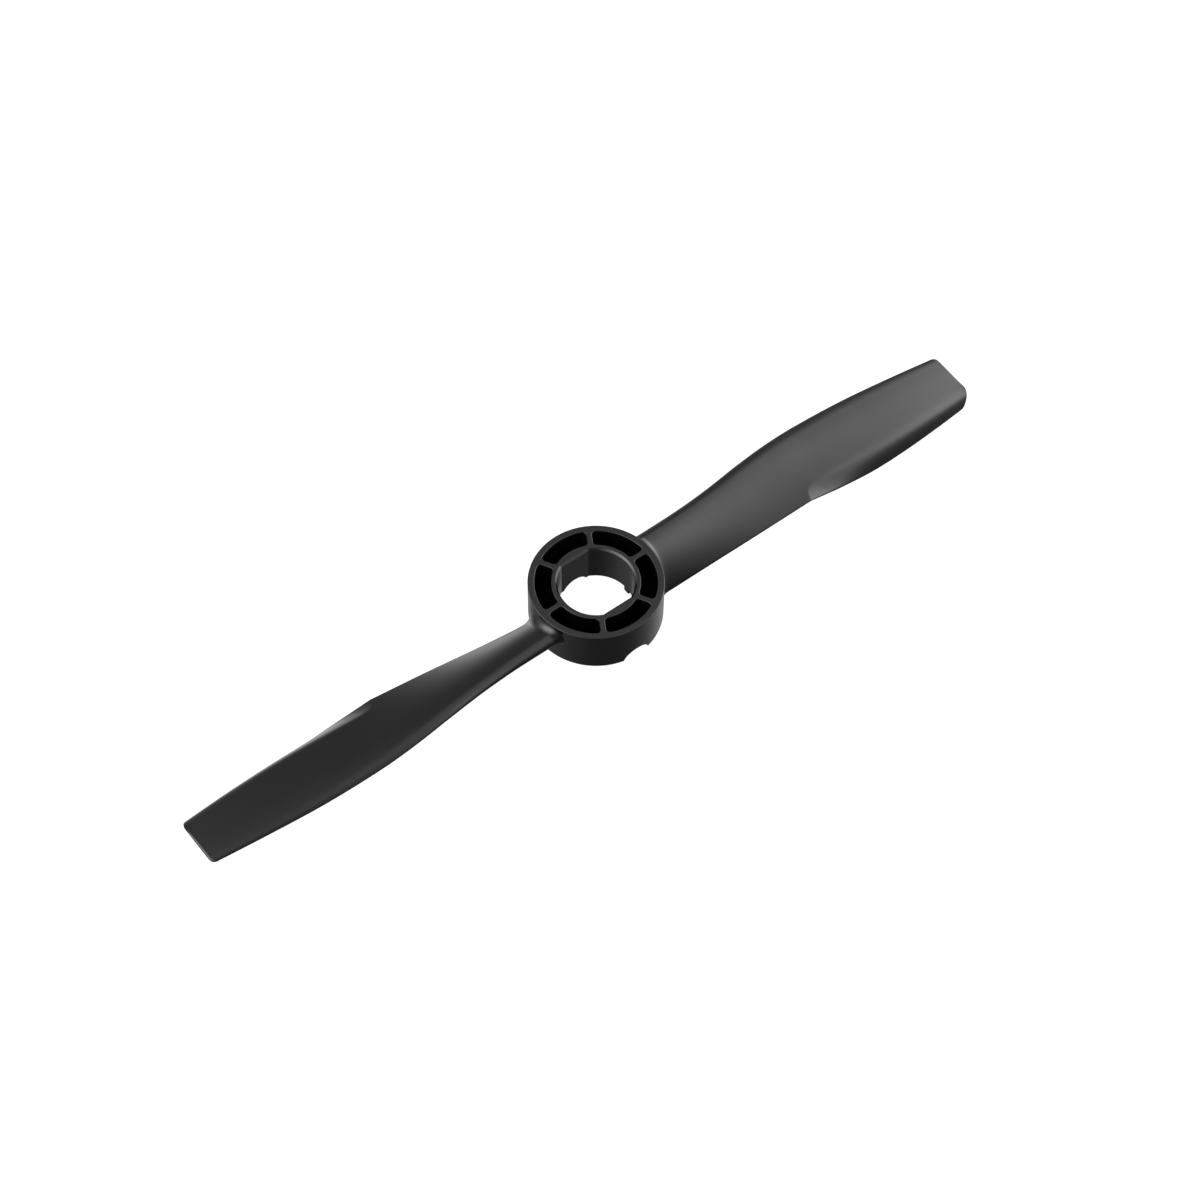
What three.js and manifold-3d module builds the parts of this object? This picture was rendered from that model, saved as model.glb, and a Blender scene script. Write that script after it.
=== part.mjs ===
// Two-blade propeller with a cored ring hub, one injection moulding divided into its working sections.
// Millimetres. +Z is the spin axis and points forward, +X runs along blade 1, the origin is on the spin axis.
// The part turns counter-clockwise seen from +Z, so the leading edge of blade 1 is its +Y edge.
import * as THREE from "three";
import { mergeVertices } from "three/addons/utils/BufferGeometryUtils.js";
import Module from "manifold-3d";

const wasm = await Module();
wasm.setup();

// ---- Driving dimensions ----
const TIP_RADIUS = 114; // half of the 228 mm diameter, a 9 in propeller
const HUB_RADIUS = 16.5;
const TOP_Z = 12.75; // flat top face of the hub
const RIM_BOTTOM_Z = 0.75;
const RIM_WALL = 1.65;
const SLEEVE_RADIUS = 10.8; // outside of the bore sleeve
const SLEEVE_BOTTOM_Z = 1.5;
const FLOOR_TOP_Z = 4.75; // bottom of the six blind pockets
const BORE_RADIUS = 9.35;
const BORE_HALF_FLATS = 8.4; // the two flats lie at y = +8.4 and y = -8.4
const BORE_CHAMFER = 0.55;
const RIBS = 6;
const RIB_WIDTH = 1.3;
const CHANNEL_RADIUS = 3.7; // round seat for a cross pin, along Y under the hub
const CHANNEL_Z = -0.12;
const KEY_WIDTH = 1.75;
const KEY_LENGTH = 4; // radial length of a drive key, which starts at the bore wall
const KEY_BOTTOM_Z = 0;
const ROOT_FILLET = 2; // radius between the hub wall and a blade
const NOSE_FILLET_SHARE = 0.15; // how much of that fillet is left at the leading edge
const INSIDE_HUB = 10; // x at which a blade blank starts, before the hub's cylinder cuts it
const TRAILING_THICKNESS = 0.45;
const KINK_X = 60.3; // outboard of here the trailing part of the blade droops
const RIDGE_Y = -5.1; // line along the blade where the droop starts
const FLAT_SLOPE = 0.182; // dz/dy of the main surface outboard of the kink
const LEADING_CORNER = 1.3; // plan radii of the tip's two corners
const TRAILING_CORNER = 3.1;
const JOIN_GAP = 0.05; // between two sections of the moulding
const HUB_SEGMENTS = 96;
const SECTION_POINTS = 13; // points along one side of a blade section
const CAMBER_SHARE = 0.3; // height of the mean line, as a share of the thickness

// Stations along blade 1: x, then the y and z of an edge, or the thickness.
const LEADING_EDGE = [
  [16.5, 6.5, 9.05], [30, 6.75, 9.05], [40, 7.45, 9.2], [50, 8.6, 9.35], [60, 9.6, 9.05],
  [70, 9.95, 8.6], [85, 9.45, 7.95], [100, 8.05, 7.4], [114, 6.4, 6.85],
];
const INNER_TRAILING_EDGE = [[16.5, -6.7, 1], [60.3, -8.9, 5.65]];
const OUTER_TRAILING_EDGE = [
  [60.3, -8.9, 5.65], [70, -9.4, 4], [80, -9.65, 2.75], [90, -9.6, 2.65], [102, -9.1, 2.9], [114, -8.3, 3.3],
];
const THICKNESS = [[16.5, 4], [30, 3.3], [45, 2.7], [60, 2.2], [85, 1.7], [114, 1.1]];

// ---- Solids ----
// A closed geometry as a solid that can be joined and cut.
function solid(geometry) {
  const bare = geometry.index ? geometry.toNonIndexed() : geometry.clone();
  bare.deleteAttribute("normal");
  bare.deleteAttribute("uv");
  const merged = mergeVertices(bare, 1e-4);
  return new wasm.Manifold(
    new wasm.Mesh({
      numProp: 3,
      vertProperties: merged.attributes.position.array,
      triVerts: new Uint32Array(merged.index.array),
    }),
  );
}

function geometryOf(manifold) {
  const mesh = manifold.getMesh();
  const geometry = new THREE.BufferGeometry();
  geometry.setAttribute("position", new THREE.BufferAttribute(mesh.vertProperties, 3));
  geometry.setIndex(new THREE.BufferAttribute(mesh.triVerts, 1));
  geometry.computeVertexNormals();
  return geometry;
}

// An upright ring, or a disc where inner is 0.
function ring(inner, outer, bottom, top, segments = HUB_SEGMENTS) {
  const profile = [[inner, bottom], [outer, bottom], [outer, top], [inner, top], [inner, bottom]];
  const points = profile.map(([r, z]) => new THREE.Vector2(r, z));
  const outline = inner > 0 ? points : points.slice(0, 4);
  return solid(new THREE.LatheGeometry(outline, segments).rotateX(Math.PI / 2));
}

// A solid through rings of points, each ring with the same number of points, closed by a cap at both ends.
function loft(rings) {
  const count = rings[0].length;
  const positions = rings.flat().flatMap((p) => [p.x, p.y, p.z]);
  const index = [];
  for (let k = 0; k + 1 < rings.length; k++) {
    for (let i = 0; i < count; i++) {
      const a = k * count + i;
      const b = k * count + ((i + 1) % count);
      index.push(a, b, b + count, a, b + count, a + count);
    }
  }
  const caps = [[rings[0], 0, true], [rings.at(-1), (rings.length - 1) * count, false]];
  for (const [points, start, first] of caps) {
    const flat = points.map(flatten(points));
    for (const [a, b, c] of THREE.ShapeUtils.triangulateShape(flat, [])) {
      index.push(start + a, start + (first ? c : b), start + (first ? b : c));
    }
  }
  const geometry = new THREE.BufferGeometry();
  geometry.setAttribute("position", new THREE.Float32BufferAttribute(positions, 3));
  geometry.setIndex(index);
  return solid(geometry);
}

// Cap outlines seen along +X for a blade and along +Z for anything upright.
function flatten(points) {
  const level = points.every((p) => Math.abs(p.z - points[0].z) < 1e-6);
  return level ? (p) => new THREE.Vector2(p.x, p.y) : (p) => new THREE.Vector2(p.y, p.z);
}

// ---- Hub ----
// The double-D outline of the bore, grown outwards by a chamfer where one is given.
function doubleD(z, grow = 0, arcPoints = 20) {
  const radius = BORE_RADIUS + grow;
  const corner = Math.asin((BORE_HALF_FLATS + grow) / radius);
  const points = [];
  for (const start of [0, Math.PI]) {
    for (let i = 0; i <= arcPoints; i++) {
      const angle = start - corner + (2 * corner * i) / arcPoints;
      points.push(new THREE.Vector3(radius * Math.cos(angle), radius * Math.sin(angle), z));
    }
  }
  return points;
}

function crossChannel() {
  const length = 3 * HUB_RADIUS;
  const geometry = new THREE.CylinderGeometry(CHANNEL_RADIUS, CHANNEL_RADIUS, length, 64);
  return solid(geometry.translate(0, 0, CHANNEL_Z));
}

function rimSolid() {
  return ring(HUB_RADIUS - RIM_WALL, HUB_RADIUS, RIM_BOTTOM_Z, TOP_Z).subtract(crossChannel());
}

function sleeveSolid() {
  const bore = loft([
    doubleD(SLEEVE_BOTTOM_Z - 1),
    doubleD(TOP_Z - BORE_CHAMFER),
    doubleD(TOP_Z, BORE_CHAMFER),
    doubleD(TOP_Z + 1, BORE_CHAMFER),
  ]);
  return ring(0, SLEEVE_RADIUS, SLEEVE_BOTTOM_Z, TOP_Z).subtract(bore).subtract(crossChannel());
}

function floorSolid() {
  const inner = SLEEVE_RADIUS + JOIN_GAP;
  const outer = HUB_RADIUS - RIM_WALL - JOIN_GAP;
  return ring(inner, outer, SLEEVE_BOTTOM_Z, FLOOR_TOP_Z).subtract(crossChannel());
}

function ribGeometry() {
  const inner = SLEEVE_RADIUS + JOIN_GAP;
  const outer = HUB_RADIUS - RIM_WALL - 2 * JOIN_GAP;
  const bottom = FLOOR_TOP_Z + JOIN_GAP;
  const geometry = new THREE.BoxGeometry(outer - inner, RIB_WIDTH, TOP_Z - bottom);
  return geometry.translate((inner + outer) / 2, 0, (TOP_Z + bottom) / 2);
}

function keyGeometry() {
  const top = SLEEVE_BOTTOM_Z - JOIN_GAP;
  const geometry = new THREE.BoxGeometry(KEY_LENGTH, KEY_WIDTH, top - KEY_BOTTOM_Z);
  return geometry.translate(BORE_RADIUS + KEY_LENGTH / 2, 0, (top + KEY_BOTTOM_Z) / 2);
}

// ---- Blades ----
// Smooth value at x through stations [x, value, value ...], one cubic between each pair.
function along(stations, x, column = 1) {
  const last = stations.length - 1;
  let k = 0;
  while (k < last - 1 && x > stations[k + 1][0]) k++;
  const slope = (i) => {
    const a = stations[Math.max(i - 1, 0)];
    const b = stations[Math.min(i + 1, last)];
    return (b[column] - a[column]) / (b[0] - a[0]);
  };
  const [from, to] = [stations[k], stations[k + 1]];
  const width = to[0] - from[0];
  const t = (x - from[0]) / width;
  const rise = to[column] - from[column];
  const [m0, m1] = [slope(k) * width, slope(k + 1) * width];
  return from[column] + t * m0 + t * t * (3 * rise - 2 * m0 - m1) + t * t * t * (m0 + m1 - 2 * rise);
}

function smoothStep(t) {
  const s = Math.min(Math.max(t, 0), 1);
  return s * s * (3 - 2 * s);
}

// How far a tip corner of the given plan radius has turned in at x.
function cornerInset(x, radius) {
  const past = Math.max(x - (TIP_RADIUS - radius), 0);
  return radius - Math.sqrt(Math.max(radius * radius - past * past, 0));
}

// Half of the section's thickness at chord fraction c: a rounded nose and a long taper behind it.
function halfThickness(c, thickest) {
  const crest = 0.35;
  if (c < crest) return (thickest / 2) * Math.sqrt(1 - (1 - c / crest) ** 2);
  const taper = ((c - crest) / (1 - crest)) ** 1.6;
  return thickest / 2 + (TRAILING_THICKNESS / 2 - thickest / 2) * taper;
}

// The section at x as one ring in the Y-Z plane, from the leading edge over the top and back below.
function section(x) {
  const outboard = x > KINK_X;
  const trailing = outboard ? OUTER_TRAILING_EDGE : INNER_TRAILING_EDGE;
  const full = { front: along(LEADING_EDGE, x), back: along(trailing, x) };
  const front = full.front - cornerInset(x, LEADING_CORNER);
  const back = full.back + cornerInset(x, TRAILING_CORNER);
  const frontZ = along(LEADING_EDGE, x, 2);
  const backZ = along(trailing, x, 2);
  const slope = outboard ? FLAT_SLOPE : (frontZ - backZ) / (full.front - full.back);
  const droop = frontZ - slope * (full.front - full.back) - backZ;
  const thickest = along(THICKNESS, x);
  const camber = CAMBER_SHARE * thickest;
  const pitch = Math.atan(slope);
  const upper = [];
  const lower = [];
  for (let i = 0; i < SECTION_POINTS; i++) {
    const c = (1 - Math.cos((Math.PI * i) / (SECTION_POINTS - 1))) / 2;
    const y = front + (back - front) * c;
    const sag = smoothStep((RIDGE_Y + 1 - y) / (RIDGE_Y + 1 - full.back) / 1.5) / smoothStep(1 / 1.5);
    const z = frontZ - slope * (full.front - y) - droop * sag + camber * 4 * c * (1 - c);
    const half = halfThickness(c, thickest);
    upper.push([y + half * Math.sin(-pitch), z + half * Math.cos(pitch)]);
    lower.push([y - half * Math.sin(-pitch), z - half * Math.cos(pitch)]);
  }
  return [...upper, ...lower.slice(1).reverse()];
}

// A blade with its root fillet. Near the hub each ring of points lies at one distance from the hub wall.
function bladeSolid() {
  const points = (outline, x) => outline.map(([y, z]) => new THREE.Vector3(x(y), y, z));
  const atWall = (distance) => {
    const flare = ROOT_FILLET - Math.sqrt(ROOT_FILLET ** 2 - (ROOT_FILLET - distance) ** 2);
    const radius = HUB_RADIUS + distance;
    return points(flared(section(radius), flare), (y) => Math.sqrt(radius ** 2 - y ** 2));
  };
  const rings = [points(flared(section(HUB_RADIUS), ROOT_FILLET), () => INSIDE_HUB)];
  for (const share of [0, 0.04, 0.14, 0.3, 0.55, 1]) rings.push(atWall(share * ROOT_FILLET));
  const stations = [22, 26, 30, 34, 38, 42, 46, 50, 54, 57, KINK_X, 62, 64, 67, 70, 74, 78, 83, 88, 94, 100, 106];
  for (const x of stations) rings.push(points(section(x), () => x));
  for (const share of [0, 0.35, 0.6, 0.8, 0.93, 0.99]) {
    const x = TIP_RADIUS - TRAILING_CORNER * (1 - share);
    rings.push(points(section(x), () => x));
  }
  return loft(rings);
}

// A section moved outwards along its own normals, less so at its nose, where the fillet runs out.
function flared(outline, distance) {
  const count = outline.length;
  const nose = outline[0][0];
  return outline.map(([y, z], i) => {
    const [y0, z0] = outline[(i + count - 1) % count];
    const [y1, z1] = outline[(i + 1) % count];
    const length = Math.hypot(y1 - y0, z1 - z0);
    const reach = distance * (NOSE_FILLET_SHARE + (1 - NOSE_FILLET_SHARE) * smoothStep((nose - y) / 5));
    return [y + (reach * (z1 - z0)) / length, z - (reach * (y1 - y0)) / length];
  });
}

// ---- Assembly ----
const plastic = {
  hub: new THREE.MeshStandardMaterial({ color: 0x1a1a1b, roughness: 0.42, metalness: 0 }),
  blade: new THREE.MeshStandardMaterial({ color: 0x19191a, roughness: 0.35, metalness: 0 }),
};

const propeller = new THREE.Group();
propeller.name = "propeller";

function add(name, geometry, material, turn = 0) {
  const mesh = new THREE.Mesh(geometry, material);
  mesh.name = name;
  mesh.rotation.z = turn;
  propeller.add(mesh);
}

add("hub_rim", geometryOf(rimSolid()), plastic.hub);
add("bore_sleeve", geometryOf(sleeveSolid()), plastic.hub);
add("hub_floor", geometryOf(floorSolid()), plastic.hub);
for (let i = 0; i < RIBS; i++) {
  add(`hub_rib_${i + 1}`, ribGeometry(), plastic.hub, (2 * Math.PI * i) / RIBS);
}

const rootEnd = HUB_RADIUS + ROOT_FILLET;
const wholeBlade = bladeSolid();
const root = wholeBlade
  .intersect(ring(0, rootEnd, RIM_BOTTOM_Z, TOP_Z))
  .subtract(ring(0, HUB_RADIUS + JOIN_GAP, KEY_BOTTOM_Z - 1, TOP_Z + 1));
const blade = wholeBlade.subtract(ring(0, rootEnd + JOIN_GAP, KEY_BOTTOM_Z - 10, TOP_Z + 10));
for (let side = 0; side < 2; side++) {
  const turn = side * Math.PI;
  add(`drive_key_${side + 1}`, keyGeometry(), plastic.hub, turn);
  add(`blade_root_${side + 1}`, geometryOf(root), plastic.blade, turn);
  add(`blade_${side + 1}`, geometryOf(blade), plastic.blade, turn);
}

export default propeller;
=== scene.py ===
"""Two-blade propeller moulded in black plastic, on a pale studio floor."""
import math

import bmesh
import bpy
from mathutils import Matrix, Vector
from mathutils.geometry import delaunay_2d_cdt


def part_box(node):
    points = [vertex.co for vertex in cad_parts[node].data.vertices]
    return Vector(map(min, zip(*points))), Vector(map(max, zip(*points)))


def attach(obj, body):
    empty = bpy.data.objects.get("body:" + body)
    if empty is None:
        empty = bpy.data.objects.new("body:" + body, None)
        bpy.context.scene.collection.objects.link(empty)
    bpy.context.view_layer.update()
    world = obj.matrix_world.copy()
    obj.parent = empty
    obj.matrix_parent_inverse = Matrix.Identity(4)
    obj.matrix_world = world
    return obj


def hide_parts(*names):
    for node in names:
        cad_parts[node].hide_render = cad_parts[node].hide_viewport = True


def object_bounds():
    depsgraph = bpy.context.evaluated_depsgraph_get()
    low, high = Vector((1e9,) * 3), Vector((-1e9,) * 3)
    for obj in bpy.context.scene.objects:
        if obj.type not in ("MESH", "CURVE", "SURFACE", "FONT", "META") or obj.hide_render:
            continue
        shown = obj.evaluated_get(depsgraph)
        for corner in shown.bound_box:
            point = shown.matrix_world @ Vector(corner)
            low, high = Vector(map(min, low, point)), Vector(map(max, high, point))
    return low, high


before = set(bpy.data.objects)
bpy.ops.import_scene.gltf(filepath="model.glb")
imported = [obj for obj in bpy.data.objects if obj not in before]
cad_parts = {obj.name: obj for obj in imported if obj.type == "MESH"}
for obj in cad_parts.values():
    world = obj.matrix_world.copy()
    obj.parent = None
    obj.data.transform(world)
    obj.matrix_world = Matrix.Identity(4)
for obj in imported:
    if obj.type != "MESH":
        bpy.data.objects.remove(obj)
cad_low, cad_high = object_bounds()

MM = 0.001

# ---- Hub sizes in millimetres, read from the frame where a node's box gives them ----
rim_low, rim_high = (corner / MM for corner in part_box("hub_rim"))
sleeve_low, sleeve_high = (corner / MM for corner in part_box("bore_sleeve"))
_, floor_high = (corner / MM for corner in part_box("hub_floor"))
key_low, key_high = (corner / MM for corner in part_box("drive_key_1"))
HUB_RADIUS = rim_high.x
TOP_Z = rim_high.z
RIM_BOTTOM_Z = rim_low.z
RIM_WALL = 1.65
SLEEVE_RADIUS = sleeve_high.x
SLEEVE_BOTTOM_Z = sleeve_low.z
POCKET_FLOOR_Z = floor_high.z
BORE_RADIUS = 9.35
BORE_HALF_FLATS = 8.4
BORE_CHAMFER = 0.55
RIBS = 6
RIB_HALF_WIDTH = 0.65
POCKET_CORNER = 1.0
KEY_ROOT_Z = SLEEVE_BOTTOM_Z + 0.3  # the drive keys' tops are sunk in the sleeve
CHANNEL_RADIUS = 3.7
CHANNEL_Z = -0.12
KEY_HALF_WIDTH = key_high.y
KEY_CORNER = 0.12  # in plan
KEY_EDGE = 0.1  # along the foot
EDGE = 0.15  # radius of the small moulded roundings
INNER_FILLET = 0.4  # radius in the hub's inside corners
CHAMFER_ROUNDING = 0.06  # at the two borders of the bore's chamfer
CORNER_GAP = 0.8  # degrees left free on both sides of the bore's corners

# ---- Blade sizes in millimetres; a table starts each row with a station along x ----
TIP_RADIUS = cad_high.x / MM
LEADING_EDGE = [  # x, y and z, as the trailing edges have
    (16.5, 6.5, 9.2), (30, 6.75, 9.2), (40, 7.45, 9.3), (50, 8.6, 9.45), (60, 9.6, 9.1),
    (70, 9.95, 8.6), (85, 9.45, 7.95), (100, 8.05, 7.4), (114, 6.4, 6.85),
]
KINK_X = 60.3  # where the trailing edge has a corner
INNER_TRAILING_EDGE = [(16.5, -6.55, 0.7), (30, -7.25, 2.2), (45, -8.15, 4), (KINK_X, -8.9, 5.65)]
OUTER_TRAILING_EDGE = [
    (KINK_X, -8.9, 5.65), (65, -9.15, 4.8), (70, -9.4, 4), (80, -9.55, 2.6),
    (90, -9.45, 2.35), (102, -8.95, 2.6), (114, -8.15, 3),
]
THICKNESS = [(16.5, 3.7), (30, 3.0), (45, 2.5), (60, 2.1), (85, 1.7), (114, 1.1)]
CREST = 0.155  # where a section is thickest, as a share of its chord
TAPER = [(16.5, 2.7), (40, 1.4), (114, 1.4)]  # power by which it thins behind the crest
TRAILING_THICKNESS = 0.45
MAIN_SLOPE = [(16.5, 0.16), (40, 0.03), (62, 0), (114, -0.065)]  # of the front of the upper face
CAMBER = [(16.5, 0.35), (34, 0.03), (62, -0.14), (114, -0.33)]
# The rear of a section bends down. Inboard of the kink this makes up the whole drop; outboard it fades out.
BEND_START = [(16.5, 0.15), (48, 0.12), (KINK_X, 0.26), (75, 0.3), (114, 0.3)]  # share of the chord
BEND_POWER = [(16.5, 2.25), (KINK_X, 1.2), (80, 1.1), (114, 1.1)]
BEND_SOFTNESS = 0.2  # share of the bent part's depth over which the bend sets in
BEND_FADE_LENGTH = 14
# Outboard of the kink a flap turns down behind a crease that starts square to the edge and becomes a ridge.
RIDGE_Y = [(KINK_X, -5.6), (72, -6.05), (114, -6.65)]
CREASE_CORNER = 3.6
CREASE_SLOPE = [(KINK_X, -0.1), (68, 0.49), (85, 0.18), (114, 0.13)]  # of the flap against the broad face
CREASE_RADIUS = [(KINK_X, 0.05), (75, 0.7), (114, 2.5)]
CURL = [(KINK_X, 1.2), (70, 2), (85, 2.5), (114, 3.5)]  # power of the flap's further bend
LEAST_FLAP = 0.02  # keeps the flap's depth above nothing at the kink
LEADING_CORNER = 1.3
TRAILING_CORNER = 3.1  # radius of the tip's rear corner in plan, and LEADING_CORNER that of its front one
TIP_EDGE = 0.4  # radius of the rounding along the tip
ROOT_FILLET = 2.2
ROOT_SUNK = 0.4  # how far a blade's end reaches into the hub's wall
WALL_BOTTOM_Z, WALL_TOP_Z = RIM_BOTTOM_Z + 0.05, TOP_Z - EDGE - 0.1  # the fillet stays between them
ROOT_FILLET_TURNS = (0, 1.5, 6, 13, 21, 30, 39, 48, 57, 66, 75, 83, 90)  # degrees round the fillet
WALL_BOTTOM_SOFTNESS, WALL_TOP_SOFTNESS = 0.3, 0.4
NOSE_FILLET_SHARE = 0.4  # what is left of the fillet at the leading edge
TAIL_FILLET_SHARE = 0.5
NOSE_FILLET_REACH = 5  # how far from an edge the fillet is full again
TAIL_FILLET_REACH = 3
SECTION_POINTS = 100  # along one side of a section
ROW_SPANS = [  # start, end and number of steps between sections, closest at the kink
    (HUB_RADIUS + ROOT_FILLET + 0.8, KINK_X, 44),
    (KINK_X + 0.1, KINK_X + 2.9, 28),
    (KINK_X + 3.1, KINK_X + 8.1, 25),
    (KINK_X + 8.6, TIP_RADIUS - TRAILING_CORNER, 46),
]
TIP_ROWS = 22  # round the rear corner

# ---- Material values ----
DARKEST, PALEST = 0.0012, 0.0018  # the plastic's own colour
ROUGHNESS_SPREAD = 0.02
CLOUD_SCALE = 60  # of the slow changes in colour and gloss
GRAIN_SCALE = 2600
GRAIN_DEPTH = 0.00001

# ---- Studio values, in metres and degrees ----
CAMERA_AZIMUTH, CAMERA_ELEVATION, CAMERA_ROLL = -37.47, 55.92, 0.5
CAMERA_DISTANCE = 0.6642
CAMERA_LENS = 84.35
FRAMING_RIGHT, FRAMING_UP = 0.00135, 0.00219  # where the hub's top sits against the picture's centre
TENT_RADIUS = 0.69
CLOTH_GLOW = 0.13
OVERHEAD_GLOW = 0.19
OVERHEAD_FROM, OVERHEAD_TO = -0.2, 0.4  # height over the tent's radius between which that glow sets in
FLOOR_HALF_WIDTH = 6.0
LAMPS = [  # azimuth, elevation, width, height, blur, radiance
    (65, 35, 65, 75, 60, 1.8),
    (170, -20, 5, 45, 50, 2.5),
    (135, -22, 20, 12, 20, 1.2),
    (95, 5, 85, 160, 115, 0.5),
    (-135, 20, 40, 55, 80, 2),
    (100, 23, 25, 60, 20, 1.35),
    (77, 31, 38, 14, 65, 7.3),
    (-105, 35, 55, 60, 55, 4.4),
    (-110, -15, 50, 160, 90, 0.2),
    (120, 32, 3, 20, 25, 3),
    (155, 72, 6, 36, 35, 1),
]


def smooth_step(t):
    """0 up to t = 0, 1 from t = 1, and a smooth step between."""
    s = min(max(t, 0.0), 1.0)
    return s * s * (3 - 2 * s)


def smooth_min(a, b, softness):
    """The smaller of a and b, rounded where they are within softness of each other."""
    return -smooth_max(-a, -b, softness)


def smooth_max(a, b, softness):
    """The larger of a and b, rounded where they are within softness of each other."""
    h = max(softness - abs(a - b), 0.0) / softness
    return max(a, b) + h * h * softness / 4


def steps(start, end, count):
    """Evenly spaced values from start to end, both included."""
    return [start + (end - start) * i / count for i in range(count + 1)]


# ---- Materials ----
def black_plastic_and_painted_shade(name, roughness, gloss):
    """Black moulded plastic: near-black base, uneven satin gloss and a very fine spark-eroded grain. With
    almost no gloss, as in the pockets, it is painted shade.
    """
    material = bpy.data.materials.new(name)
    material.use_nodes = True
    nodes = material.node_tree.nodes
    links = material.node_tree.links
    shader = nodes["Principled BSDF"]
    shader.inputs["IOR"].default_value = 1.5
    shader.inputs["Specular IOR Level"].default_value = gloss
    place = nodes.new("ShaderNodeTexCoord")

    cloud = nodes.new("ShaderNodeTexNoise")
    cloud.inputs["Scale"].default_value = CLOUD_SCALE
    cloud.inputs["Detail"].default_value = 3
    links.new(place.outputs["Object"], cloud.inputs["Vector"])
    tint = nodes.new("ShaderNodeMapRange")
    tint.inputs["To Min"].default_value = DARKEST
    tint.inputs["To Max"].default_value = PALEST
    links.new(cloud.outputs["Fac"], tint.inputs["Value"])
    colour = nodes.new("ShaderNodeCombineColor")
    for channel in ("Red", "Green", "Blue"):
        links.new(tint.outputs["Result"], colour.inputs[channel])
    links.new(colour.outputs["Color"], shader.inputs["Base Color"])

    sheen = nodes.new("ShaderNodeMapRange")
    sheen.inputs["To Min"].default_value = roughness - ROUGHNESS_SPREAD
    sheen.inputs["To Max"].default_value = roughness + ROUGHNESS_SPREAD
    links.new(cloud.outputs["Fac"], sheen.inputs["Value"])
    links.new(sheen.outputs["Result"], shader.inputs["Roughness"])

    grain = nodes.new("ShaderNodeTexNoise")
    grain.inputs["Scale"].default_value = GRAIN_SCALE
    grain.inputs["Detail"].default_value = 2
    links.new(place.outputs["Object"], grain.inputs["Vector"])
    bump = nodes.new("ShaderNodeBump")
    bump.inputs["Strength"].default_value = 0.5
    bump.inputs["Distance"].default_value = GRAIN_DEPTH
    links.new(grain.outputs["Fac"], bump.inputs["Height"])
    links.new(bump.outputs["Normal"], shader.inputs["Normal"])
    return material


# ---- Surfaces ----
class Surface:
    """Points and faces in millimetres. Broad faces set their corners' shading, and narrow ones blend."""

    def __init__(self):
        self.points = []
        self.faces = []
        self.broad = []
        self.face_material = 0  # which of the piece's materials the next faces get
        self.face_materials = []

    def add(self, corners, broad):
        self.faces.append(tuple(corners))
        self.broad.append(broad)
        self.face_materials.append(self.face_material)

    def loop(self, points):
        start = len(self.points)
        self.points += points
        return list(range(start, start + len(points)))

    def join(self, a, b, broad=True):
        """Quads between two closed loops of the same length."""
        count = len(a)
        for i in range(count):
            j = (i + 1) % count
            self.add((a[i], a[j], b[j], b[i]), broad)

    def skin(self, loops, broad=True):
        for a, b in zip(loops, loops[1:]):
            self.join(a, b, broad)

    def fill(self, loops, broad=True):
        """A flat face inside the first loop, with the other loops as holes."""
        owners, rings = [], []
        for ring in loops:
            rings.append(list(range(len(owners), len(owners) + len(ring))))
            owners += ring
        flat = [Vector(self.points[i][:2]) for i in owners]
        triangles_without_holes = 2
        _, _, faces, sources, _, _ = delaunay_2d_cdt(flat, [], rings, triangles_without_holes, 1e-7)
        for face in faces:
            self.add((owners[sources[i][0]] for i in face), broad)

    def piece(self, name, materials, nodes, slot_name):
        """A mesh object on the root body that stands for the given CAD nodes."""
        mesh = bpy.data.meshes.new(name)
        mesh.from_pydata([tuple(c * MM for c in p) for p in self.points], [], self.faces)
        marks = mesh.attributes.new("broad", "INT", "FACE")
        marks.data.foreach_set("value", [int(b) for b in self.broad])
        mesh.polygons.foreach_set("material_index", self.face_materials)
        work = bmesh.new()
        work.from_mesh(mesh)
        bmesh.ops.remove_doubles(work, verts=work.verts, dist=1e-7)
        bmesh.ops.recalc_face_normals(work, faces=work.faces)
        work.to_mesh(mesh)
        mesh.normals_split_custom_set_from_vertices(shading_normals(work))
        work.free()
        for material in materials:
            mesh.materials.append(material)
        made = bpy.data.objects.new(name, mesh)
        bpy.context.scene.collection.objects.link(made)
        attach(made, "root")
        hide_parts(*nodes)
        return made


def shading_normals(work):
    """For each vertex the mean normal of its broad faces, or of all its faces where none is broad."""
    broad = work.faces.layers.int["broad"]
    normals = []
    for vertex in work.verts:
        total = {0: Vector(), 1: Vector()}
        for corner in vertex.link_loops:
            total[corner.face[broad]] += corner.face.normal * corner.calc_angle()
        chosen = total[1] if total[1].length > 1e-6 else total[0]
        normals.append(chosen.normalized())
    return normals


def rounding(count=4):
    """Cosine and sine pairs over a quarter turn, for a rounded edge."""
    return [(math.cos(a), math.sin(a)) for a in steps(0, math.pi / 2, count)]


# ---- Hub ----
def bore_corner(grow):
    """Angle at which the bore's round part meets a flat."""
    return math.asin((BORE_HALF_FLATS + grow) / (BORE_RADIUS + grow))


def hub_angles():
    """One turn round the hub in even steps, finer over the cross-pin seat, with each bore corner in it."""
    corner = math.degrees(bore_corner(0))
    quarter = steps(0, corner - CORNER_GAP, 64) + [corner] + steps(corner + CORNER_GAP, 90, 96)
    half = quarter + [180 - a for a in reversed(quarter[:-1])]
    return [math.radians(a) for a in half + [180 + a for a in half[1:-1]]]


ANGLES = hub_angles()


def ring(radius):
    """A circle about the spin axis with a point at each of the hub's angles."""
    return [(radius * math.cos(a), radius * math.sin(a)) for a in ANGLES]


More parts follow.
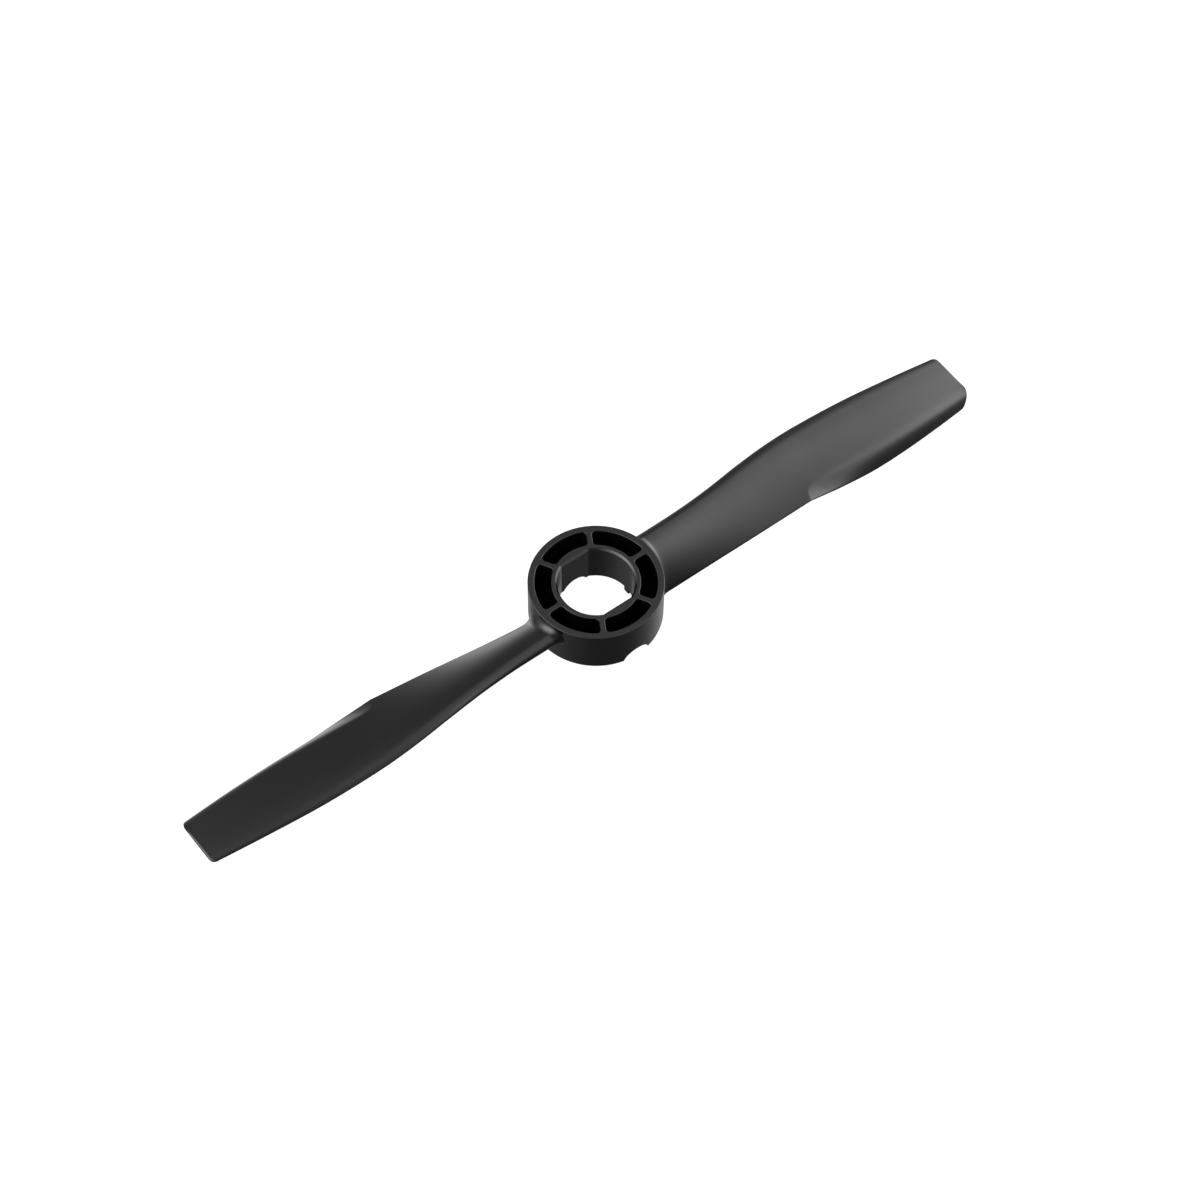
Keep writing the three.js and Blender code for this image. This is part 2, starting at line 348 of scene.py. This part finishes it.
def bore_outline(grow):
    """The double-D outline grown outwards, with its corners at the same points of every loop."""
    corner, base = bore_corner(grow), bore_corner(0)
    outline = []
    for angle in ANGLES:
        fold = angle % math.pi
        quarter = min(fold, math.pi - fold)
        if quarter <= base:
            turned = quarter * corner / base
            reach = BORE_RADIUS + grow
        else:
            turned = math.pi / 2 - (math.pi / 2 - quarter) * (math.pi / 2 - corner) / (math.pi / 2 - base)
            reach = (BORE_HALF_FLATS + grow) / math.sin(turned)
        side_x = 1 if math.cos(angle) > 0 else -1
        side_y = 1 if math.sin(angle) > 0 else -1
        outline.append((side_x * reach * math.cos(turned), side_y * reach * math.sin(turned)))
    return outline


def pocket_outline(grow, number):
    """One pocket's rounded outline grown outwards: two arcs about the spin axis, two sides along ribs."""
    inner, outer = SLEEVE_RADIUS - grow, HUB_RADIUS - RIM_WALL + grow
    corner = POCKET_CORNER + grow
    offset = RIB_HALF_WIDTH + POCKET_CORNER  # from a rib's centre line to the corner circles
    outer_x = math.sqrt((outer - corner) ** 2 - offset ** 2)
    inner_x = math.sqrt((inner + corner) ** 2 - offset ** 2)
    outer_turn, inner_turn = math.atan2(offset, outer_x), math.atan2(offset, inner_x)

    def rounded(x, start, end):
        return [(x + corner * math.cos(a), offset + corner * math.sin(a)) for a in steps(start, end, 8)]

    def arc(radius, start, end):
        return [(radius * math.cos(a), radius * math.sin(a)) for a in steps(start, end, 16)]

    middle = math.pi / RIBS
    half = arc(inner, middle, inner_turn)[:-1]
    half += rounded(inner_x, inner_turn + math.pi, 1.5 * math.pi)
    side = steps(inner_x, outer_x, 8)[1:-1]
    half += [(x, offset - corner) for x in side]
    half += rounded(outer_x, -math.pi / 2, outer_turn)
    half += arc(outer, outer_turn, middle)[1:]
    mirror = Matrix.Rotation(2 * middle, 2) @ Matrix(((1, 0), (0, -1)))
    outline = [Vector(p) for p in half] + [mirror @ Vector(p) for p in reversed(half[1:-1])]
    turn = Matrix.Rotation(2 * middle * number, 2)
    return [tuple(turn @ p) for p in outline]


def seat_height(x):
    """Height of the round cross-pin seat at x, and far below it to either side."""
    inside = CHANNEL_RADIUS ** 2 - x ** 2
    return CHANNEL_Z + math.sqrt(inside) if inside > 0 else CHANNEL_Z - 10


def underside(outline, level, lift=0.0):
    """An outline laid on the underside at that level, raised where the cross-pin seat passes."""
    return [(x, y, smooth_max(level, seat_height(x), EDGE) + lift) for x, y in outline]


def inside_rim(outline, level, lift):
    """The same for the rim's inner wall, with less lift where the seat leaves that wall little height."""
    points = []
    for x, y, z in underside(outline, level):
        wall = underside([(x, y)], SLEEVE_BOTTOM_Z)[0][2] - underside([(x, y)], RIM_BOTTOM_Z)[0][2]
        points.append((x, y, z + lift * min(wall / (EDGE + INNER_FILLET), 1)))
    return points


def level(outline, z):
    """An outline laid flat at height z."""
    return [(x, y, z) for x, y in outline]


def hub():
    """The ring hub with its bore, its six pockets and the seat below, as one closed surface."""
    surface = Surface()
    rim_inner = HUB_RADIUS - RIM_WALL
    # Outside: top edge, wall and bottom edge of the rim.
    outside = [surface.loop(level(ring(HUB_RADIUS - EDGE + EDGE * s), TOP_Z - EDGE + EDGE * c))
               for c, s in rounding()]
    foot = [surface.loop(underside(ring(HUB_RADIUS - EDGE + EDGE * c), RIM_BOTTOM_Z, EDGE - EDGE * s))
            for c, s in rounding()]
    surface.skin(outside, broad=False)
    surface.join(outside[-1], foot[0])
    surface.skin(foot, broad=False)
    # Underside: rim, its inner wall, the floor with the seat, and the bore's lower edge.
    lip = [surface.loop(inside_rim(ring(rim_inner + EDGE - EDGE * s), RIM_BOTTOM_Z, EDGE - EDGE * c))
           for c, s in rounding()]
    surface.join(foot[-1], lip[0])
    surface.skin(lip, broad=False)
    corner = [surface.loop(inside_rim(ring(rim_inner - INNER_FILLET + INNER_FILLET * c), SLEEVE_BOTTOM_Z,
                                      -INNER_FILLET + INNER_FILLET * s)) for c, s in rounding()]
    surface.join(lip[-1], corner[0])
    surface.skin(corner, broad=False)
    mouth = [surface.loop(underside(bore_outline(EDGE - EDGE * s), SLEEVE_BOTTOM_Z, EDGE - EDGE * c))
             for c, s in rounding()]
    middle = surface.loop(underside(ring(SLEEVE_RADIUS), SLEEVE_BOTTOM_Z))
    surface.skin([corner[-1], middle, mouth[0]])
    surface.skin(mouth, broad=False)
    # Bore wall and chamfer.
    chamfer = [surface.loop(level(bore_outline(grow), TOP_Z - BORE_CHAMFER + grow))
               for grow in (0, CHAMFER_ROUNDING, BORE_CHAMFER - CHAMFER_ROUNDING, BORE_CHAMFER)]
    surface.join(mouth[-1], chamfer[0])
    surface.join(chamfer[0], chamfer[1], broad=False)
    surface.join(chamfer[1], chamfer[2])
    surface.join(chamfer[2], chamfer[3], broad=False)
    # Six blind pockets.
    mouths = []
    for number in range(RIBS):
        edge = [surface.loop(level(pocket_outline(EDGE - EDGE * s, number), TOP_Z - EDGE + EDGE * c))
                for c, s in rounding()]
        base = [surface.loop(level(pocket_outline(-INNER_FILLET + INNER_FILLET * c, number),
                                   POCKET_FLOOR_Z + INNER_FILLET - INNER_FILLET * s)) for c, s in rounding()]
        surface.skin(edge, broad=False)
        # Each pocket's walls, base rounding and floor get the second material. It is painted shade: a
        # near-black that barely reflects, so the pockets stay as dark as shade.
        surface.face_material = 1
        surface.join(edge[-1], base[0])
        surface.skin(base, broad=False)
        surface.fill([base[-1]])
        surface.face_material = 0
        mouths.append(edge[0])
    surface.fill([outside[0], chamfer[3]] + mouths)
    return surface


# ---- Blades ----
def along(stations, x, column=1):
    """Smooth value at x through stations (x, value, value ...), one cubic between each pair."""
    last = len(stations) - 1
    k = 0
    while k < last - 1 and x > stations[k + 1][0]:
        k += 1

    def slope(i):
        a, b = stations[max(i - 1, 0)], stations[min(i + 1, last)]
        return (b[column] - a[column]) / (b[0] - a[0])

    start, end = stations[k], stations[k + 1]
    width = end[0] - start[0]
    t = (x - start[0]) / width
    rise = end[column] - start[column]
    m0, m1 = slope(k) * width, slope(k + 1) * width
    return start[column] + t * m0 + t * t * (3 * rise - 2 * m0 - m1) + t ** 3 * (m0 + m1 - 2 * rise)


def corner_inset(x, radius):
    """How far a rounded corner at the tip draws its edge in at x."""
    past = max(x - (TIP_RADIUS - radius), 0)
    return radius - math.sqrt(max(radius * radius - past * past, 0))


def rounded_end(distance, radius):
    """Share of the thickness left at a distance from an end that is rounded over radius."""
    t = min(max(distance / radius, 0), 1)
    return math.sqrt(1 - (1 - t) ** 2)


def half_thickness(c, chord, thickest, power):
    """Half the thickness at c, a share of the chord counted from the leading edge."""
    if c < CREST:
        return thickest / 2 * math.sqrt(max(1 - (1 - c / CREST) ** 2, 0))
    taper = ((c - CREST) / (1 - CREST)) ** power
    half = thickest / 2 + (TRAILING_THICKNESS / 2 - thickest / 2) * taper
    return half * rounded_end((1 - c) * chord, TRAILING_THICKNESS / 2)


def front_and_back(x):
    """The leading and the trailing edge's (y, z) at x."""
    trailing = OUTER_TRAILING_EDGE if x > KINK_X else INNER_TRAILING_EDGE
    front = (along(LEADING_EDGE, x), along(LEADING_EDGE, x, 2))
    back = (along(trailing, x), along(trailing, x, 2))
    return front, back


def hinge(distance, radius):
    """Grows with the distance behind a crease, is 0 well before it, and turns with that radius between."""
    return (distance + math.hypot(distance, radius)) / 2


def whole_drop(x):
    """How far the trailing edge lies below the front of the upper face carried on straight."""
    front, back = front_and_back(x)
    return front[1] - along(MAIN_SLOPE, x) * (front[0] - back[0]) - back[1]


DROP_AT_KINK = whole_drop(KINK_X)
DROP_GROWTH_AT_KINK = (whole_drop(KINK_X) - whole_drop(KINK_X - 2)) / 2  # per millimetre


def turned_down(x, y):
    """How far the surface at x and y lies below the front of the upper face carried on straight."""
    front, back = front_and_back(x)
    start = along(BEND_START, x)
    share = ((front[0] - y) / (front[0] - back[0]) - start) / (1 - start)
    bend = (hinge(share, BEND_SOFTNESS) / hinge(1, BEND_SOFTNESS)) ** along(BEND_POWER, x)
    past = x - KINK_X
    if past <= 0:
        return whole_drop(x) * bend
    faded = 1 - math.exp(-past / BEND_FADE_LENGTH)
    bend_drop = DROP_AT_KINK + DROP_GROWTH_AT_KINK * BEND_FADE_LENGTH * faded
    flap_drop = whole_drop(x) - bend_drop
    ridge = along(RIDGE_Y, x)
    radius = along(CREASE_RADIUS, x)
    behind = hinge(smooth_min(past, ridge - y, CREASE_CORNER), radius)
    whole = hinge(max(smooth_min(past, ridge - back[0], CREASE_CORNER), LEAST_FLAP), radius)
    crease_slope = min(along(CREASE_SLOPE, x), flap_drop / whole)
    curled = (behind / whole) ** along(CURL, x)
    return bend_drop * bend + crease_slope * behind + (flap_drop - crease_slope * whole) * curled


def section(x):
    """The section at x as one ring of (y, z), from the leading edge over the top and back below."""
    front, back = front_and_back(x)
    first = front[0] - corner_inset(x, LEADING_CORNER)
    last = back[0] + corner_inset(x, TRAILING_CORNER)
    slope = along(MAIN_SLOPE, x)
    thickest = along(THICKNESS, x) * rounded_end(TIP_RADIUS - x, TIP_EDGE)
    camber = along(CAMBER, x)
    pitch = math.atan(slope)
    upper, lower = [], []
    for angle in steps(0, math.pi, SECTION_POINTS):
        c = (1 - math.cos(angle)) / 2
        y = first + (last - first) * c
        z = front[1] - slope * (front[0] - y) - turned_down(x, y) + camber * 4 * c * (1 - c)
        half = half_thickness(c, first - last, thickest, along(TAPER, x))
        upper.append((y - half * math.sin(pitch), z + half * math.cos(pitch)))
        lower.append((y + half * math.sin(pitch), z - half * math.cos(pitch)))
    return upper + lower[-2:0:-1]


def flared(outline, distance):
    """A section moved outwards along its own normals, less at its two edges, and kept on the rim's wall."""
    count = len(outline)
    nose = outline[0][0]
    tail = min(y for y, z in outline)
    moved = []
    for i, (y, z) in enumerate(outline):
        y0, z0 = outline[i - 1]
        y1, z1 = outline[(i + 1) % count]
        length = math.hypot(y1 - y0, z1 - z0)
        at_nose = smooth_step((nose - y) / NOSE_FILLET_REACH)
        at_tail = smooth_step((y - tail) / TAIL_FILLET_REACH)
        reach = distance * (NOSE_FILLET_SHARE + (1 - NOSE_FILLET_SHARE) * at_nose)
        reach *= TAIL_FILLET_SHARE + (1 - TAIL_FILLET_SHARE) * at_tail
        height = smooth_max(z - reach * (y1 - y0) / length, WALL_BOTTOM_Z, WALL_BOTTOM_SOFTNESS)
        moved.append((y + reach * (z1 - z0) / length, smooth_min(height, WALL_TOP_Z, WALL_TOP_SOFTNESS)))
    return moved


def blade(side):
    """A blade with its root fillet, which runs out on the hub's wall. side is 1 along +X and -1 along -X."""
    surface = Surface()

    def loop(outline, reach):
        return surface.loop([(side * reach(y), side * y, z) for y, z in outline])

    def at_wall(turn):
        distance = ROOT_FILLET * (1 - math.cos(turn))
        radius = HUB_RADIUS + distance
        outline = flared(section(radius), ROOT_FILLET * (1 - math.sin(turn)))
        return loop(outline, lambda y: math.sqrt(radius ** 2 - y ** 2))

    inside = HUB_RADIUS - ROOT_SUNK
    sunk = loop(flared(section(HUB_RADIUS), ROOT_FILLET), lambda y: math.sqrt(inside ** 2 - y ** 2))
    fillet = [at_wall(math.radians(turn)) for turn in ROOT_FILLET_TURNS]
    stations = [x for start, end, count in ROW_SPANS for x in steps(start, end, count)]
    stations += [TIP_RADIUS - TRAILING_CORNER * (1 - math.sin(a))
                 for a in steps(0, math.pi / 2, TIP_ROWS)[1:]]
    rows = [loop(section(x), lambda y, x=x: x) for x in stations]
    surface.join(sunk, fillet[0], broad=False)
    surface.skin(fillet + rows)
    surface.add(sunk, broad=False)
    return surface


# ---- Drive keys ----
def key_outline(grow):
    """A rounded rectangle in plan, its inner end following the bore's wall."""
    start, end, half = BORE_RADIUS, key_high.x, KEY_HALF_WIDTH
    radius = KEY_CORNER + grow
    outline = []
    for x, y, first in ((end, half, 0), (start, half, 90), (start, -half, 180), (end, -half, 270)):
        centre_x = x - math.copysign(KEY_CORNER, x - (start + end) / 2)
        centre_y = y - math.copysign(KEY_CORNER, y)
        for turn in steps(math.radians(first), math.radians(first + 90), 6):
            outline.append((centre_x + radius * math.cos(turn), centre_y + radius * math.sin(turn)))
    inner_end = start + 1
    return [(x - (start - math.sqrt(start ** 2 - y ** 2)) * (x < inner_end), y) for x, y in outline]


def drive_key(side):
    """A drive key under the sleeve. side is 1 along +X and -1 along -X."""
    surface = Surface()

    def loop(grow, z):
        return surface.loop([(side * x, side * y, z) for x, y in key_outline(grow)])

    foot = [loop(-KEY_EDGE + KEY_EDGE * c, key_low.z + KEY_EDGE - KEY_EDGE * s) for c, s in rounding()]
    top = loop(0, KEY_ROOT_Z)
    surface.skin(foot, broad=False)
    surface.join(foot[0], top)
    surface.fill([foot[-1]])
    surface.fill([top])
    return surface


# ---- Studio ----
def direction(azimuth, elevation):
    """Unit vector from the object towards a viewer. Azimuth 0 is in front, at -Y, and 90 is at +X."""
    a, e = math.radians(azimuth), math.radians(elevation)
    return Vector((math.sin(a) * math.cos(e), -math.cos(a) * math.cos(e), math.sin(e)))


def sideways(azimuth):
    """Unit vector to the right of a viewer at that azimuth who looks at the object."""
    a = math.radians(azimuth)
    return Vector((math.cos(a), math.sin(a), 0))


def add_camera():
    """A camera aimed at the middle of the hub's top face."""
    data = bpy.data.cameras.new("camera")
    data.lens = CAMERA_LENS
    data.sensor_width = 36
    camera = bpy.data.objects.new("camera", data)
    bpy.context.scene.collection.objects.link(camera)
    back = direction(CAMERA_AZIMUTH, CAMERA_ELEVATION)
    right = sideways(CAMERA_AZIMUTH)
    up = back.cross(right)
    turn = math.radians(CAMERA_ROLL)
    tilted_right = right * math.cos(turn) + up * math.sin(turn)
    tilted_up = up * math.cos(turn) - right * math.sin(turn)
    target = Vector((0, 0, TOP_Z * MM)) - tilted_right * FRAMING_RIGHT - tilted_up * FRAMING_UP
    turned = Matrix((tilted_right, tilted_up, back)).transposed().to_4x4()
    camera.matrix_world = Matrix.Translation(target + back * CAMERA_DISTANCE) @ turned
    data.clip_start = 0.05
    data.clip_end = 20
    bpy.context.scene.camera = camera


def calculate(tree, operation, *inputs):
    """A Math node that works on numbers and other nodes' outputs."""
    made = tree.nodes.new("ShaderNodeMath")
    made.operation = operation
    for socket, value in zip(made.inputs, inputs):
        if isinstance(value, (int, float)):
            socket.default_value = value
        else:
            tree.links.new(value, socket)
    return made.outputs["Value"]


def reach(tree, place, axis):
    """How far the tent's point lies along an axis."""
    made = tree.nodes.new("ShaderNodeVectorMath")
    made.operation = "DOT_PRODUCT"
    tree.links.new(place, made.inputs[0])
    made.inputs[1].default_value = axis
    return made.outputs["Value"]


def fade(tree, value, start, end):
    """0 at start, 1 at end, and a smooth step between."""
    made = tree.nodes.new("ShaderNodeMapRange")
    made.interpolation_type = "SMOOTHSTEP"
    made.inputs["From Min"].default_value = start
    made.inputs["From Max"].default_value = end
    tree.links.new(value, made.inputs["Value"])
    return made.outputs["Result"]


def lamp(tree, place, azimuth, elevation, width, height, blur, radiance):
    """Light through a soft-edged rectangle of the tent. Width, height and blur are in degrees."""
    centre = direction(azimuth, elevation)
    right = sideways(azimuth)
    inward = reach(tree, place, centre)

    def window(axis, size):
        off = calculate(tree, "ABSOLUTE", calculate(tree, "ARCTAN2", reach(tree, place, axis), inward))
        return fade(tree, off, math.radians((size + blur) / 2), math.radians((size - blur) / 2))

    shape = calculate(tree, "MULTIPLY", window(right, width), window(centre.cross(right), height))
    return calculate(tree, "MULTIPLY", shape, radiance)


def add_tent():
    """A round light tent: cloth that glows a little, more overhead, and most where a lamp shines on it."""
    material = bpy.data.materials.new("tent_light")
    material.use_nodes = True
    tree = material.node_tree
    tree.nodes.clear()
    place = tree.nodes.new("ShaderNodeTexCoord").outputs["Object"]
    height = reach(tree, place, Vector((0, 0, 1 / TENT_RADIUS)))
    overhead = fade(tree, height, OVERHEAD_FROM, OVERHEAD_TO)
    light = calculate(tree, "MULTIPLY_ADD", overhead, OVERHEAD_GLOW, CLOTH_GLOW)
    for entry in LAMPS:
        light = calculate(tree, "ADD", light, lamp(tree, place, *entry))
    glow = tree.nodes.new("ShaderNodeEmission")
    tree.links.new(light, glow.inputs["Strength"])
    output = tree.nodes.new("ShaderNodeOutputMaterial")
    tree.links.new(glow.outputs["Emission"], output.inputs["Surface"])
    material.cycles.emission_sampling = "NONE"
    work = bmesh.new()
    bmesh.ops.create_uvsphere(work, u_segments=96, v_segments=48, radius=TENT_RADIUS)
    mesh = bpy.data.meshes.new("tent")
    work.to_mesh(mesh)
    work.free()
    mesh.materials.append(material)
    tent = bpy.data.objects.new("tent", mesh)
    tent.visible_camera = False
    bpy.context.scene.collection.objects.link(tent)


def add_backdrop():
    """Plain white all round, which only the camera sees from inside the tent."""
    world = bpy.data.worlds.new("studio")
    bpy.context.scene.world = world
    world.use_nodes = True
    world.node_tree.nodes["Background"].inputs["Color"].default_value = (1, 1, 1, 1)


def add_floor():
    """A plain white floor under the drive keys, bright enough that only a trace of shadow shows."""
    material = bpy.data.materials.new("white_floor")
    material.use_nodes = True
    shader = material.node_tree.nodes["Principled BSDF"]
    shader.inputs["Base Color"].default_value = (0.1, 0.1, 0.1, 1)
    shader.inputs["Roughness"].default_value = 0.9
    shader.inputs["Specular IOR Level"].default_value = 0
    shader.inputs["Emission Color"].default_value = (1, 1, 1, 1)
    shader.inputs["Emission Strength"].default_value = 1.0
    half = FLOOR_HALF_WIDTH
    mesh = bpy.data.meshes.new("floor")
    corners = [(-half, -half, 0), (half, -half, 0), (half, half, 0), (-half, half, 0)]
    mesh.from_pydata(corners, [], [(0, 1, 2, 3)])
    mesh.materials.append(material)
    floor = bpy.data.objects.new("floor", mesh)
    floor.location.z = key_low.z * MM
    floor.visible_glossy = False
    floor.visible_diffuse = False
    bpy.context.scene.collection.objects.link(floor)


hub_plastic = black_plastic_and_painted_shade("black_hub_plastic", 0.14, 0.5)
# Painted shade for the pockets: the plastic's near-black with almost no gloss, so nothing shows in them.
pocket_painted_shade = black_plastic_and_painted_shade("pocket_painted_shade_black", 0.6, 0.03)
blade_plastic = black_plastic_and_painted_shade("black_blade_plastic", 0.14, 0.5)

hub_nodes = ["hub_rim", "bore_sleeve", "hub_floor"] + [f"hub_rib_{number + 1}" for number in range(RIBS)]
hub().piece("hub", [hub_plastic, pocket_painted_shade], hub_nodes, "hub_plastic")
for number, side in ((1, 1), (2, -1)):
    key_nodes = [f"drive_key_{number}"]
    blade_nodes = [f"blade_{number}", f"blade_root_{number}"]
    drive_key(side).piece(f"drive_key_moulding_{number}", [hub_plastic], key_nodes, "hub_plastic")
    blade(side).piece(f"blade_moulding_{number}", [blade_plastic], blade_nodes, "blade_plastic")

bpy.context.scene.view_settings.view_transform = "Standard"
add_tent()
add_backdrop()
add_floor()
add_camera()
